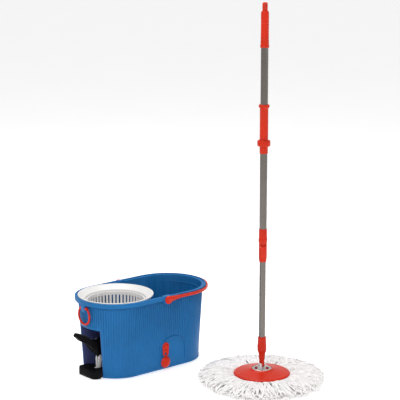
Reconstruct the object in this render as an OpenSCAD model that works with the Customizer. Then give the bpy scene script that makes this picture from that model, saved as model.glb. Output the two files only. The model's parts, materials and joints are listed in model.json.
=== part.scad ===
// Spin mop set: a long oval bucket with a foot-pedal spin basket, and a telescopic mop beside it.
// The origin is on the floor under the basket's spindle. +X points to the rinse end, +Z is up.

/* [Bucket] */
// Width of the bucket over its rim
rim_width = 250; // [240:1:270]
// Distance between the centres of the two round ends
end_spacing = 204; // [190:1:230]
// Height of the rim above the floor
rim_height = 243; // [236:1:260]
// Width of the bucket at its foot
foot_width = 202; // [196:1:210]
// Thickness of the moulded wall
wall = 2.6; // [2.2:0.1:3.2]

/* [Pedal drive] */
// Angle that the pedal turns when it is pressed
pedal_stroke = 25; // [15:1:25]
// Width of the pedal niche in the end wall
niche_width = 98; // [90:1:104]
// Height of the pedal niche
niche_height = 152; // [146:1:154]

/* [Basket] */
// Number of slots round the basket
basket_slots = 48; // [24:2:60]
// Width of one slot
slot_width = 4.6; // [3:0.1:5.5]

/* [Mop] */
// Height of the mop from the floor to the end of its hanger
mop_height = 1150; // [1100:5:1250]
// Diameter of the head plate
plate_diameter = 172; // [160:1:176]
// Diameter that the spread strings cover
strings_diameter = 396; // [340:2:400]
// Outer diameter of the upper pole tube
upper_tube_d = 22; // [20:0.5:24]
// Outer diameter of the lower pole tube
lower_tube_d = 19; // [17:0.5:19.5]
// Place of the mop beside the bucket
mop_place = [265, -384]; // [-600:1:600]

/* [Hidden] */
$fn = 96;
running_gap = 0.05;
seat_gap = 0.02;

bucket_blue = [0.13, 0.38, 0.63];
safety_red = [0.86, 0.22, 0.12];
soft_white = [0.94, 0.93, 0.91];
pedal_black = [0.06, 0.06, 0.07];
steel_grey = [0.62, 0.61, 0.60];
seal_grey = [0.25, 0.25, 0.27];

// Bucket shell
rim_r = rim_width / 2;
foot_r = foot_width / 2;
wall_r = rim_r - 11;
taper_z = rim_height - 11;
skirt_z = 1.5;
floor_z = 10;
floor_t = 3;
ledge_z = rim_height - 3;
ledge_r = rim_r - 4;
function shell_r(z) = foot_r + (wall_r - foot_r) * z / taper_z;

// Gear chamber under the spin half, and the niche in front of it
chamber_x = 66;
chamber_y = 70;
chamber_top = 47;
niche_back = -22;
niche_y = niche_width / 2;
post_r = 13;
post_top = niche_height + 2.6;

// Pedal: a bell crank on an axle, whose lower arm carries a fork that pushes the rack
pivot = [-52, 98];
nose = [-70.5, 15];
nose_r = 4.5;
axle_r = 4;
nose_reach = norm(nose - pivot);
nose_angle = atan2(nose[0] - pivot[0], pivot[1] - nose[1]);
rack_travel = nose_reach * (sin(nose_angle + pedal_stroke) - sin(nose_angle));

// Gears: rack and pinion, then a step-up pair to the spindle
gear_m = 1.5;
pressure_angle = 25;
addendum = 0.8 * gear_m;
dedendum = 1.05 * gear_m;
backlash = 0.24;
pinion_teeth = 12;
step_teeth = 40;
drive_teeth = 12;
function pitch_r(teeth) = gear_m * teeth / 2;
step_axle = [15, 36];
rack_pitch_y = step_axle[1] - pitch_r(pinion_teeth);
rack_z = [8, 18];
step_z = [26, 32];
spindle_r = 5;
spindle_z = [10.1, 171];

// Basket and collar
collar_r = 117.8;
collar_inner_r = 92.7;
basket_top = 227;
basket_floor = 158;
basket_r = 91.8;

// Bail, pour ring and drain
bail_x = 108;
bail_z = rim_height - 12;
bail_gap = 1;
bail_t = 5.5;
bail_h = 9.5;
bail_pin_r = 4;
pour_hinge = [-121, 219];
pour_drop = 23.5;
pour_ring_r = 27.5;
pour_rod_r = 3.2;
pour_lug_y = 8;
drain_at = [112, 24];
drain_r = 11;
drain_face = -shell_r(drain_at[1]) - 2.8;
button_z = 76;

// Mop heights
plate_r = plate_diameter / 2;
strings_r = strings_diameter / 2;
tilt_z = 52;
yoke_top = 142;
lock_z = [377, 478];
upper_tube_z = [425, 1116];
lower_tube_z = [114, 640];
grip_z = [1019, 1126];
turn_sleeve_z = [728, 852];
upper_r = upper_tube_d / 2;
lower_r = lower_tube_d / 2;
tube_t = 0.8;
lever_pin = [-16, 424];
clamp_angle = 50;

screw_places = [[58, -60], [58, 62], [-10, -60], [-10, 66], [-76, -41], [-76, 41]];
foot_places = [[20, 86], [20, -86], [222, 72], [222, -72]];

// ---- shared shapes ----

// Sweeps a profile drawn as [distance from the middle line, height] round the oval
module oval_sweep() {
    rotate(90) rotate_extrude(angle = 180) children();
    translate([end_spacing, 0, 0]) rotate(-90) rotate_extrude(angle = 180) children();
    for (side = [0, 1])
        mirror([0, side, 0]) rotate([90, 0, 90]) linear_extrude(end_spacing) children();
}

// Solid oval block whose wall follows the bucket's taper, moved inwards by inset
module oval_block(z0, z1, inset = 0) {
    oval_sweep()
        polygon([[0, z0], [shell_r(z0) - inset, z0], [shell_r(z1) - inset, z1], [0, z1]]);
}

module ring_at(z, height, outer, inner) {
    translate([0, 0, z]) difference() {
        cylinder(h = height, r = outer);
        translate([0, 0, -1]) cylinder(h = height + 2, r = inner);
    }
}

// Cylinder along Y from y0 to y1, through [x, z]
module rod_y(at, y0, y1, r) {
    translate([at[0], y0, at[1]]) rotate([-90, 0, 0]) cylinder(h = y1 - y0, r = r);
}

// Flat part drawn in X and Z, as thick as y0 to y1
module slab_y(y0, y1) {
    translate([0, y1, 0]) rotate([90, 0, 0]) linear_extrude(y1 - y0) children();
}

module round_box(low, high, r) {
    translate([0, 0, low[2]]) linear_extrude(high[2] - low[2]) {
        translate([low[0] + r, low[1]]) square([high[0] - low[0] - 2 * r, high[1] - low[1]]);
        translate([low[0], low[1] + r]) square([high[0] - low[0], high[1] - low[1] - 2 * r]);
        for (x = [low[0] + r, high[0] - r], y = [low[1] + r, high[1] - r])
            translate([x, y]) circle(r);
    }
}

module box(low, high) {
    translate(low) cube(high - low);
}

// The clamp of the telescopic pole, turned to its side of the pole
module at_clamp() {
    at_mop() rotate(clamp_angle) children();
}

module at_mop() {
    translate([mop_place[0], mop_place[1], 0]) children();
}

// Involute flank: half the tooth's angle at radius r, in degrees
function involute(a) = tan(a) * 180 / PI - a;
function half_tooth(teeth, r) =
    let (rp = pitch_r(teeth), rb = rp * cos(pressure_angle))
    90 / teeth - backlash / (4 * rp) * 180 / PI + involute(pressure_angle)
        - involute(acos(min(1, rb / r)));

// Outline of a gear, with one tooth centred on the +X axis
module gear_outline(teeth) {
    rp = pitch_r(teeth);
    root = rp - dedendum;
    tip = rp + addendum;
    start = max(root, rp * cos(pressure_angle) + 0.01);
    steps = 5;
    flank = [for (i = [0 : steps]) start + (tip - start) * i / steps];
    polygon([
        for (t = [0 : teeth - 1]) let (mid = t * 360 / teeth) each concat(
            [for (s = [1]) let (a = mid - half_tooth(teeth, start)) root * [cos(a), sin(a)]],
            [for (r = flank) let (a = mid - half_tooth(teeth, r)) r * [cos(a), sin(a)]],
            [for (i = [steps : -1 : 0]) let (r = flank[i], a = mid + half_tooth(teeth, r))
                r * [cos(a), sin(a)]],
            [for (s = [1]) let (a = mid + half_tooth(teeth, start)) root * [cos(a), sin(a)]]
        )
    ]);
}

// Helical coil of round wire about Z, as one swept surface
module coil(mean_r, wire_r, pitch, turns) {
    sides = 6;
    per_turn = 14;
    rings = round(turns * per_turn);
    points = [
        for (k = [0 : rings], j = [0 : sides - 1])
            let (a = k * 360 / per_turn, b = j * 360 / sides, r = mean_r + wire_r * cos(b))
            [r * cos(a), r * sin(a), pitch * k / per_turn + wire_r * sin(b)]
    ];
    polyhedron(points, concat(
        [[for (j = [0 : sides - 1]) j]],
        [for (k = [0 : rings - 1], j = [0 : sides - 1])
            [k * sides + j, (k + 1) * sides + j,
             (k + 1) * sides + (j + 1) % sides, k * sides + (j + 1) % sides]],
        [[for (j = [sides - 1 : -1 : 0]) rings * sides + j]]
    ));
}

// ---- bucket ----

// Turned-down rim with a ledge inside for the collar
module rim_profile() {
    polygon([
        [shell_r(ledge_z - 8) - wall, ledge_z - 8], [wall_r + 1, ledge_z - 3.5],
        [rim_r - 2.4, ledge_z - 3.5], [rim_r - 2.4, rim_height - 13.5],
        [rim_r, rim_height - 13.5], [rim_r, rim_height - 1], [rim_r - 1, rim_height],
        [ledge_r, rim_height], [ledge_r, ledge_z], [shell_r(ledge_z) - wall, ledge_z]
    ]);
}

// Everything that stands up inside the water space
module inner_housings() {
    box([niche_back, -chamber_y - wall, 0],
        [chamber_x + wall, chamber_y + wall, chamber_top + wall]);
    box([-rim_r, -niche_y - wall, 0], [niche_back + wall, niche_y + wall, post_top]);
    cylinder(h = post_top, r = post_r);
    for (side = [-1, 1])
        rod_y(pivot, min(side * niche_y, side * (niche_y + 10)),
            max(side * niche_y, side * (niche_y + 10)), axle_r + 4);
}

module bail_ear(side) {
    intersection() {
        rod_y([bail_x, bail_z], side > 0 ? wall_r - 3 : -rim_r - 0.6,
            side > 0 ? rim_r + 0.6 : -wall_r + 3, 16);
        box([bail_x - 20, -rim_r - 1, bail_z - 20], [bail_x + 20, rim_r + 1, rim_height]);
    }
}

// Lug under the rim that holds the pour ring's pin
module pour_lug() {
    slab_y(-pour_lug_y, pour_lug_y) polygon([
        [-108, 203], [-117, 203], [-124, 207], [-127, 213], [-127, rim_height - 13],
        [-108, rim_height - 13]
    ]);
}

module bucket_tub() color(bucket_blue) difference() {
    union() {
        oval_block(skirt_z, ledge_z);
        oval_sweep() rim_profile();
        for (side = [-1, 1]) bail_ear(side);
        pour_lug();
        rod_y(drain_at, drain_face, -foot_r + 4, 19);
        // Rolled bead round the foot
        oval_sweep() polygon([[foot_r - 2, skirt_z], [foot_r + 1.6, skirt_z],
            [foot_r + 1.6, 7], [foot_r - 2, 9]]);
    }
    difference() {
        oval_block(floor_z + floor_t, rim_height + 4, wall);
        inner_housings();
    }
    // Space under the floor
    difference() {
        oval_block(0, floor_z, wall + 0.6);
        for (p = foot_places) translate([p[0], p[1], 0]) ring_at(4, 7, 12, 9.1);
        for (i = [0 : 3]) translate([screw_places[i][0], screw_places[i][1], 6.2])
            cylinder(h = 20, r = 4.5);
    }
    // Gear chamber, with posts for the cover's screws and the gear's axle
    difference() {
        box([niche_back + wall, -chamber_y, -1], [chamber_x, chamber_y, chamber_top]);
        for (i = [0 : 3]) translate([screw_places[i][0], screw_places[i][1], 6.2])
            cylinder(h = 45, r = 4.5);
        translate([step_axle[0], step_axle[1], 34.4]) cylinder(h = 14, r = 6);
    }
    box([-rim_r - 20, -niche_y, -1], [niche_back, niche_y, niche_height]);
    box([niche_back - 1, -19, -1], [niche_back + wall + 1, 33, 24]);
    for (i = [0 : 3]) translate([screw_places[i][0], screw_places[i][1], 0])
        cylinder(h = 22, r = 1.9 + seat_gap);
    translate([step_axle[0], step_axle[1], 30]) cylinder(h = 14, r = 3 + seat_gap);
    rod_y(pivot, -niche_y - 7, niche_y + 7, axle_r + seat_gap);
    // Spindle post: open bore, with seats for the bearing and the seal
    cylinder(h = post_top + 1, r = 7);
    translate([0, 0, 134]) cylinder(h = 40, r = 9 + seat_gap);
    for (side = [-1, 1])
        rod_y([bail_x, bail_z], side > 0 ? wall_r + 0.5 : -rim_r - 2,
            side > 0 ? rim_r + 2 : -wall_r - 0.5, bail_pin_r + seat_gap);
    rod_y(pour_hinge, -10, 10, 2 + seat_gap);
    // Drain hole
    rod_y(drain_at, -foot_r - 12, -foot_r + 12, drain_r + running_gap);
    rod_y([drain_at[0], button_z], -foot_r - 12, -foot_r, 3 + seat_gap);
}

module base_cover() color(pedal_black) difference() {
    union() {
        box([niche_back - 1, -73, 3], [76, 73, 6]);
        box([-96, -47, 3], [niche_back, 47, 6]);
        // Rails that the rack slides on
        box([-84, -6, 6], [62, -3, 7.95]);
        box([-84, 15, 6], [62, 18, 7.95]);
        box([-84, 21, 6], [62, 24, 7.95]);
        // Middle foot, under the spindle, and the lower bearing's housing above it
        cylinder(h = 4, r = 14);
        cylinder(h = 22, r = 9);
        translate([step_axle[0], step_axle[1], 3]) cylinder(h = 5, r = 6);
    }
    translate([0, 0, 7.5]) cylinder(h = 20, r = 7 + seat_gap);
    translate([step_axle[0], step_axle[1], 4]) cylinder(h = 8, r = 3 + seat_gap);
    for (p = screw_places) translate([p[0], p[1], 0]) cylinder(h = 10, r = 2.2);
}

module base_screws() color(steel_grey) for (p = screw_places) translate([p[0], p[1], 0]) {
    translate([0, 0, 1.2]) cylinder(h = 1.75, r = 3.8);
    translate([0, 0, 1.2]) cylinder(h = 14.5, r = 1.9);
}

module rubber_feet() color(seal_grey) for (p = foot_places) translate([p[0], p[1], 0])
    rotate_extrude() polygon([[0, 0], [8, 0], [9, 1.5], [9, floor_z - 0.02], [0, floor_z - 0.02]]);

module splash_collar() color(soft_white) rotate_extrude() polygon([
    [collar_inner_r, 221], [collar_inner_r + 2.2, 221], [collar_inner_r + 2.2, 229.5],
    [107.2, ledge_z - 5], [107.2, ledge_z - 12], [109.6, ledge_z - 12], [109.6, ledge_z + 0.1],
    [collar_r - 1, ledge_z + 0.1], [collar_r, ledge_z + 1.2], [collar_r, ledge_z + 3],
    [collar_r - 1.6, rim_height + 1.6], [collar_r - 4, rim_height + 1.6],
    [collar_r - 6, ledge_z + 2.5], [collar_inner_r + 1, 232], [collar_inner_r, 230.5]
]);

module bail_handle() color(safety_red) difference() {
    inner = rim_r + bail_gap;
    z0 = bail_z - 0.5;
    union() {
        translate([end_spacing, 0, 0]) rotate(-90) rotate_extrude(angle = 180)
            translate([inner, z0]) square([bail_t, bail_h]);
        for (side = [0, 1]) mirror([0, side, 0]) {
            box([bail_x, inner, z0], [end_spacing, inner + bail_t, z0 + bail_h]);
            rod_y([bail_x, bail_z], inner, inner + 8, 13);
        }
        // Thicker grip at the middle of the bow
        translate([end_spacing, 0, 0]) rotate(-26) rotate_extrude(angle = 52)
            translate([inner + 0.4, z0 - 1.2]) square([bail_t + 0.4, bail_h + 2.4]);
    }
    for (side = [-1, 1])
        rod_y([bail_x, bail_z], side > 0 ? inner - 1 : -inner - 9,
            side > 0 ? inner + 9 : -inner + 1, bail_pin_r + running_gap);
}

module bail_pins() color(safety_red) for (side = [0, 1]) mirror([0, side, 0]) {
    rod_y([bail_x, bail_z], wall_r + 1, rim_r + bail_gap + 8.2, bail_pin_r);
    rod_y([bail_x, bail_z], rim_r + bail_gap + 8.2, rim_r + bail_gap + 10, 7.5);
}

module pour_ring() color(safety_red) difference() {
    union() {
        difference() {
            translate([pour_hinge[0], 0, pour_hinge[1] - pour_drop]) rotate([0, 90, 0])
                rotate_extrude() translate([pour_ring_r, 0]) circle(pour_rod_r, $fn = 32);
            box([pour_hinge[0] - 8, -12, pour_hinge[1] - 8], [pour_hinge[0] + 8, 12, rim_height]);
        }
        // Eyes on both sides of the lug
        for (side = [0, 1]) mirror([0, side, 0]) rod_y(pour_hinge, pour_lug_y + 0.4, 16, 4.2);
    }
    rod_y(pour_hinge, -17, 17, 2 + running_gap);
}

module pour_ring_pin() color(steel_grey) rod_y(pour_hinge, -15.6, 15.6, 2);

// Domed cap on the stem that closes the drain
module drain_plug() color(safety_red) {
    front = drain_face - 2.3;
    difference() {
        translate([drain_at[0], front + 12, drain_at[1]]) sphere(22);
        box([drain_at[0] - 30, front, -6], [drain_at[0] + 30, front + 40, 60]);
    }
    rod_y(drain_at, front - 0.01, front + 0.8, 16);
    rod_y(drain_at, front, front + 10, drain_r);
}

module drain_seal() color(seal_grey) difference() {
    rod_y(drain_at, drain_face - 1.4, drain_face - 0.1, 15.5);
    rod_y(drain_at, drain_face - 3, drain_face + 2, drain_r + seat_gap);
}

module drain_strap() color(safety_red) {
    wall_y = -shell_r(66) - 1.4;
    difference() {
        slab_y(wall_y - 3.6, wall_y) difference() {
            hull() {
                translate([drain_at[0], button_z]) circle(12);
                translate([drain_at[0], 54]) circle(11);
            }
            translate([drain_at[0], 51]) circle(4.5);
            translate([drain_at[0], 63]) circle(2.5);
            translate([drain_at[0], button_z]) circle(3.05);
        }
        // Sunk middle, inside a raised border
        slab_y(wall_y - 6, wall_y - 2.2) hull() {
            translate([drain_at[0], button_z]) circle(8.5);
            translate([drain_at[0], 51]) circle(7);
        }
    }
}

module strap_button() color(safety_red) {
    wall_y = -shell_r(66) - 1.4;
    rod_y([drain_at[0], button_z], wall_y - 2.3, wall_y + 3, 3);
    rod_y([drain_at[0], button_z], wall_y - 3.8, wall_y - 2.3, 5);
}

// ---- pedal and drive ----

module foot_plate() color(pedal_black) difference() {
    union() {
        intersection() {
            round_box([-124, -50, 0], [-62, 44, 24], 25);
            slab_y(-60, 60) polygon([[-121, 0], [-97, 0], [-97, 6.1], [-62, 6.1], [-62, 21.4],
                [-96, 22.4], [-116, 24], [-122, 21], [-126, 9]]);
        }
        box([-84, -47, 6.1], [-62, 47, 14]);
    }
    // Room for the rack below, and the slot that the fork swings in
    box([-87, -33, -1], [-50, 33, 18.4]);
    box([-87, -10.4, -1], [-50, 10.4, 40]);
    box([-92, -60, -1], [-50, -niche_y + 0.4, 40]);
    for (i = [4, 5]) translate([screw_places[i][0], screw_places[i][1], 5])
        cylinder(h = 12, r = 1.9 + seat_gap);
    // Grooves that keep a shoe from slipping
    for (x = [-116 : 6 : -92]) box([x, -40, 21], [x + 2, 38, 40]);
}

// Side view of the lever: tread arm to the left, crank arm down to the fork
module lever_side() {
    polygon([
        [-150, 143.2], [-128, 134.5], [-115, 127], [-101, 113], [-84, 107], [-60, 106.5],
        [-41, 98], [-45, 88], [-57, 64], [-61.5, 52], [-70, 52], [-76, 60], [-86, 71],
        [-104, 91], [-118, 105], [-139, 117.5], [-150, 129]
    ]);
}

// Plan of the lever: narrow at the toe, wide over the tread, narrow again at the crank
module lever_plan() {
    polygon([
        [-160, -8.5], [-146, -9.5], [-126, -12.5], [-104, -17], [-86, -19], [-74, -14],
        [-30, -14], [-30, 14], [-74, 14], [-86, 19], [-104, 17], [-126, 12.5], [-146, 9.5],
        [-160, 8.5]
    ]);
}

module pedal_lever() color(pedal_black) difference() {
    intersection() {
        union() {
            slab_y(-40, 40) lever_side();
            rod_y([-149, 136.2], -40, 40, 7.2);
            rod_y(pivot, -40, 40, 12);
        }
        linear_extrude(200) lever_plan();
    }
    rod_y(pivot, -20, 20, axle_r + running_gap);
    // The crank arm is slim where the fork's two prongs hold it
    for (y = [4.2, -24.2]) box([-90, y, 40], [-40, y + 20, 63]);
    // Hollow underside between the side webs
    for (s = [-1, 1]) intersection() {
        box([-124, s > 0 ? 2 : -10, 60], [-82, s > 0 ? 10 : -2, 122]);
        slab_y(-40, 40) polygon([[-121, 96], [-117, 115], [-103, 102], [-86, 97], [-82, 60],
            [-121, 60]]);
    }
    rod_y([-65.3, 58], -10, 10, 1.5 + seat_gap);
    // Seat of the rubber pad
    pad_shape(0);
}

// Space of the pad on top of the tread arm, less a gap of shrink all round
module pad_shape(shrink) {
    seat = [[-148, 140.4], [-128, 132.5], [-115, 125], [-104, 113.5]];
    intersection() {
        slab_y(-22, 22) polygon(concat(
            [for (p = seat) p + [0, shrink]],
            [[-104 - shrink, 128], [-115, 138], [-128, 146], [-148 + shrink, 153]]));
        linear_extrude(200) polygon([
            [-148, -6.5 + shrink], [-126, -9.5 + shrink], [-104, -13.5 + shrink],
            [-104, 13.5 - shrink], [-126, 9.5 - shrink], [-148, 6.5 - shrink]
        ]);
    }
}

module pedal_pad() color(seal_grey) difference() {
    intersection() {
        pad_shape(0.05);
        slab_y(-40, 40) polygon([[-150, 120], [-150, 144.8], [-128, 136.1], [-115, 128.6],
            [-102, 115], [-102, 100]]);
    }
    for (x = [-145 : 6 : -127]) translate([x, 0, 144.8 - (x + 150) * 0.395])
        rotate([0, 21.6, 0]) translate([0, -30, -1]) cube([2.4, 60, 6]);
}

module pedal_axle() color(steel_grey) rod_y(pivot, -niche_y - 6, niche_y + 6, axle_r);

module return_springs() color(steel_grey) for (side = [0, 1]) mirror([0, side, 0])
    translate([pivot[0], 16, pivot[1]]) rotate([-90, 0, 0]) coil(6.4, 1.2, 3, 5);

module drive_fork() color(soft_white) difference() {
    union() {
        for (y = [-9, 4.4]) slab_y(y, y + 4.6)
            polygon([[-61.5, 62.6], [-61.5, 50], [-66.8, 26], [-67.8, 15], [-73.2, 15],
                [-73.4, 26], [-73.2, 50], [-69.5, 62.6]]);
        rod_y(nose, -9.2, 9.2, nose_r);
        slab_y(-8, 8) polygon([[-68.2, 16], [-72.8, 16], [-72.8, 27], [-68.2, 27]]);
    }
    rod_y([-65.3, 58], -12, 12, 1.5 + seat_gap);
}

module fork_pin() color(steel_grey) rod_y([-65.3, 58], -9, 9, 1.5);

module rack() color(soft_white) difference() {
    pitch = PI * gear_m;
    root_y = rack_pitch_y - dedendum;
    slope = tan(pressure_angle);
    half = pitch / 4 - backlash / 4;
    tooth_tip = half - addendum * slope;
    tooth_root = half + dedendum * slope;
    union() {
        box([-80, -14, rack_z[0]], [-58, 20, rack_z[1]]);
        box([-80, 13.5, rack_z[0]], [24, root_y, rack_z[1]]);
        translate([0, 0, rack_z[0]]) linear_extrude(rack_z[1] - rack_z[0])
            for (k = [-11 : 1]) translate([step_axle[0] + (k + 0.5) * pitch, 0]) polygon([
                [-tooth_root, root_y - 0.5], [tooth_root, root_y - 0.5], [tooth_root, root_y],
                [tooth_tip, rack_pitch_y + addendum], [-tooth_tip, rack_pitch_y + addendum],
                [-tooth_root, root_y]
            ]);
    }
    box([nose[0] - nose_r - 0.2, -9.6, 0], [nose[0] + nose_r + 0.2, 9.6, 40]);
}

module step_gear() color(soft_white) translate([step_axle[0], step_axle[1], 0]) difference() {
    toward_spindle = atan2(-step_axle[1], -step_axle[0]);
    union() {
        translate([0, 0, rack_z[0] + 0.4]) rotate(-90)
            linear_extrude(rack_z[1] - rack_z[0]) gear_outline(pinion_teeth);
        translate([0, 0, rack_z[1]]) cylinder(h = 16, r = 7);
        translate([0, 0, step_z[0]]) rotate(toward_spindle)
            linear_extrude(step_z[1] - step_z[0]) gear_outline(step_teeth);
    }
    cylinder(h = 60, r = 3 + running_gap);
    for (a = [0 : 60 : 300]) rotate(a) translate([17, 0, 0]) cylinder(h = 60, r = 5);
}

module step_axle_pin() color(steel_grey)
    translate([step_axle[0], step_axle[1], 4.2]) cylinder(h = 39, r = 3);

module drive_gear() color(soft_white) difference() {
    toward_step = atan2(step_axle[1], step_axle[0]);
    union() {
        translate([0, 0, step_z[0] - 1]) rotate(toward_step + 180 / drive_teeth)
            linear_extrude(8) gear_outline(drive_teeth);
        translate([0, 0, 33]) cylinder(h = 12, r = 11);
    }
    cylinder(h = 60, r = spindle_r + running_gap);
    translate([0, 0, 34]) cylinder(h = 20, r = 7.5);
}

module one_way_clutch() color(steel_grey)
    ring_at(34.05, 10.5, 7.5 - seat_gap, spindle_r + running_gap);

module spindle() color(steel_grey) difference() {
    translate([0, 0, spindle_z[0]]) cylinder(h = spindle_z[1] - spindle_z[0], r = spindle_r);
    // Flats that carry the basket round
    for (s = [-1, 1]) translate([s * 8.6, 0, 168]) cube([9, 20, 14], center = true);
}

module upper_bearing() color(soft_white) ring_at(134.2, 14, 9, spindle_r + running_gap);

module lower_bearing() color(soft_white) ring_at(10, 11.8, 7, spindle_r + running_gap);

module thrust_ball() color(steel_grey) translate([0, 0, 7.6]) cylinder(h = 2.4, r = 5);

module spindle_seal() color(seal_grey) translate([0, 0, 148.3]) rotate_extrude() polygon([
    [spindle_r + 0.1, 1.2], [spindle_r + 1.6, 0], [9, 0], [9, 6.2], [7.4, 6.2], [7.4, 3],
    [spindle_r + 1.4, 3], [spindle_r + 1, 6], [spindle_r + 0.1, 6]
]);

module spin_basket() color(soft_white) difference() {
    foot_out = basket_r - 4.6;
    rotate_extrude() polygon([
        [13, basket_floor], [foot_out - 2, basket_floor], [foot_out, basket_floor + 2],
        [basket_r - 2, basket_top - 5], [basket_r, basket_top - 4], [basket_r, basket_top - 0.8],
        [basket_r - 1, basket_top], [basket_r - 3.4, basket_top], [basket_r - 4.2, basket_top - 1],
        [foot_out - 2.2, basket_floor + 2.6], [13, basket_floor + 2.6]
    ]);
    for (i = [0 : basket_slots / 2 - 1]) rotate(i * 360 / basket_slots)
        translate([-100, -slot_width / 2, 168]) cube([200, slot_width, 48]);
    // Drain slots in the basket's floor
    for (i = [0 : 23]) rotate(i * 15) translate([34, -1.5, 150]) cube([40, 3, 14]);
}

module drive_cone() color(soft_white) difference() {
    rotate_extrude() polygon([
        [0, basket_floor + 2.7], [25, basket_floor + 2.7], [25, basket_floor + 6],
        [17, basket_floor + 6], [14, basket_floor + 24], [12, basket_floor + 26],
        [0, basket_floor + 26]
    ]);
    difference() {
        cylinder(h = spindle_z[1] + 0.4, r = spindle_r + running_gap);
        for (s = [-1, 1]) translate([s * (8.6 + running_gap), 0, 169])
            cube([9, 20, 15.8], center = true);
    }
    for (a = [30 : 120 : 270]) rotate(a) translate([21, 0, 150]) cylinder(h = 40, r = 1.3);
}

module cone_screws() color(steel_grey) for (a = [30 : 120 : 270]) rotate(a)
    translate([21, 0, 0]) {
        translate([0, 0, basket_floor + 2.75]) cylinder(h = 4, r = 1.25);
        translate([0, 0, basket_floor + 6.05]) cylinder(h = 1.6, r = 2.6);
    }

// ---- mop ----

module head_plate() color(safety_red) at_mop() difference() {
    rotate_extrude() polygon([
        [8 + running_gap, 20], [26, 20], [33, 33], [plate_r - 4, 25], [plate_r, 25.4],
        [plate_r, 28.4], [plate_r - 2.5, 30.6], [36, 40.5], [33, 43], [30.5, 43],
        [30.5, 40], [22.4, 40], [22.4, 23.4], [8 + running_gap, 23.4]
    ]);
}

module bearing_ring() color(steel_grey) at_mop() rotate_extrude() polygon([
    [21.6, 40.05], [30.4, 40.05], [30.4, 42.2], [28.6, 43.4], [23.4, 43.4], [21.6, 42.2]
]);

module swivel_knuckle() color(soft_white) at_mop() difference() {
    union() {
        translate([0, 0, 14.8]) cylinder(h = 12, r = 8);
        translate([0, 0, 23.6]) cylinder(h = 10, r = 20.8);
        for (x = [-11, 5.3]) translate([x, 0, 0]) rotate([90, 0, 90]) linear_extrude(5.7) {
            translate([0, tilt_z]) circle(7);
            translate([-7, 33]) square([14, tilt_z - 33]);
        }
    }
    translate([-20, 0, tilt_z]) rotate([0, 90, 0]) cylinder(h = 40, r = 2.5 + seat_gap);
    translate([0, 0, 14]) ring_at(2, 1.4, 12, 7);
}

module knuckle_clip() color(steel_grey) at_mop() ring_at(16.1, 1.2, 11, 7.02);

module tilt_pin() color(steel_grey) at_mop()
    translate([-11.6, 0, tilt_z]) rotate([0, 90, 0]) cylinder(h = 23.2, r = 2.5);

module yoke() color(safety_red) at_mop() difference() {
    union() {
        intersection() {
            rotate([90, 0, 90]) translate([0, 0, -5]) linear_extrude(10) {
                translate([0, tilt_z]) circle(6.6);
                translate([-6.3, tilt_z]) square([12.6, 14]);
            }
            translate([0, 0, 20]) cylinder(h = 60, r = 9);
        }
        rotate_extrude() polygon([
            [0, 64.2], [6.6, 64.2], [9, 72], [9.4, 76], [10.4, 90], [13.6, 98], [14, 102],
            [14, 116], [13, 122], [12.4, yoke_top - 1.5], [11.6, yoke_top], [0, yoke_top]
        ]);
    }
    translate([-20, 0, tilt_z]) rotate([0, 90, 0]) cylinder(h = 40, r = 2.5 + running_gap);
    translate([0, 0, lower_tube_z[0] - 0.2]) cylinder(h = 60, r = lower_r + seat_gap);
    translate([0, 0, 130]) rotate([0, 90, 0]) cylinder(h = 20, r = 1.8);
}

module yoke_screw() color(steel_grey) at_mop() {
    translate([12.95, 0, 130]) rotate([0, 90, 0]) cylinder(h = 1.4, r = 3.2);
    translate([9.9, 0, 130]) rotate([0, 90, 0]) cylinder(h = 3.2, r = 1.75);
}

module string_ring() color(soft_white) at_mop() ring_at(15, 5.4, 78, 60);

// Plain body of the spread strings, open under the hub
module mop_strings() color(soft_white) at_mop() rotate_extrude() polygon([
    [48, 0], [strings_r - 40, 0], [strings_r - 10, 5], [strings_r, 14], [strings_r - 1, 24],
    [strings_r - 16, 31], [plate_r + 50, 33], [plate_r + 16, 31], [plate_r + 1.5, 24.4],
    [79, 23.2], [79, 14.4], [48, 14.4]
]);

module tube(z0, z1, r) {
    ring_at(z0, z1 - z0, r, r - tube_t);
}

module lower_tube() color(steel_grey) at_mop() tube(lower_tube_z[0], lower_tube_z[1], lower_r);

module tube_guide() color(soft_white) at_mop() {
    translate([0, 0, lower_tube_z[1] - 12]) cylinder(h = 12.1, r = lower_r - tube_t - seat_gap);
    ring_at(lower_tube_z[1] + 0.1, 6, upper_r - tube_t - running_gap, 4);
}

module upper_tube() color(steel_grey) at_mop() tube(upper_tube_z[0], upper_tube_z[1], upper_r);

module lock_sleeve() color(safety_red) at_clamp() difference() {
    union() {
        rotate_extrude() polygon([
            [0, lock_z[0]], [10.9, lock_z[0]], [12.4, lock_z[0] + 14], [12.4, 436],
            [13.4, 440], [13.4, 446], [12.6, 450], [12.2, lock_z[1] - 2], [11.8, lock_z[1]],
            [0, lock_z[1]]
        ]);
        for (y = [-9.4, 6.6]) slab_y(y, y + 2.8) {
            translate(lever_pin) circle(4.5);
            translate([lever_pin[0], lever_pin[1] - 4.5]) square([8, 9]);
        }
    }
    translate([0, 0, lock_z[0] - 1]) cylinder(h = 60, r = lower_r + running_gap);
    translate([0, 0, upper_tube_z[0] - 0.1]) cylinder(h = 90, r = upper_r + seat_gap);
    // Window for the wedge that the lever presses in
    box([-20, -5, 402], [-5, 5, 420]);
    rod_y(lever_pin, -20, 20, 1.6 + seat_gap);
}

module lock_lever() color(safety_red) at_clamp() difference() {
    union() {
        rod_y(lever_pin, -6.3, 6.3, 3.1);
        slab_y(-6.3, 6.3) polygon([
            [lever_pin[0] - 3, lever_pin[1] - 0.5], [lever_pin[0] + 1.8, lever_pin[1] - 2.2],
            [lever_pin[0] + 2.2, 403], [lever_pin[0] + 1.8, 392], [lever_pin[0] - 1.2, 390],
            [lever_pin[0] - 3.4, 404]
        ]);
    }
    rod_y(lever_pin, -20, 20, 1.6 + running_gap);
}

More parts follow.
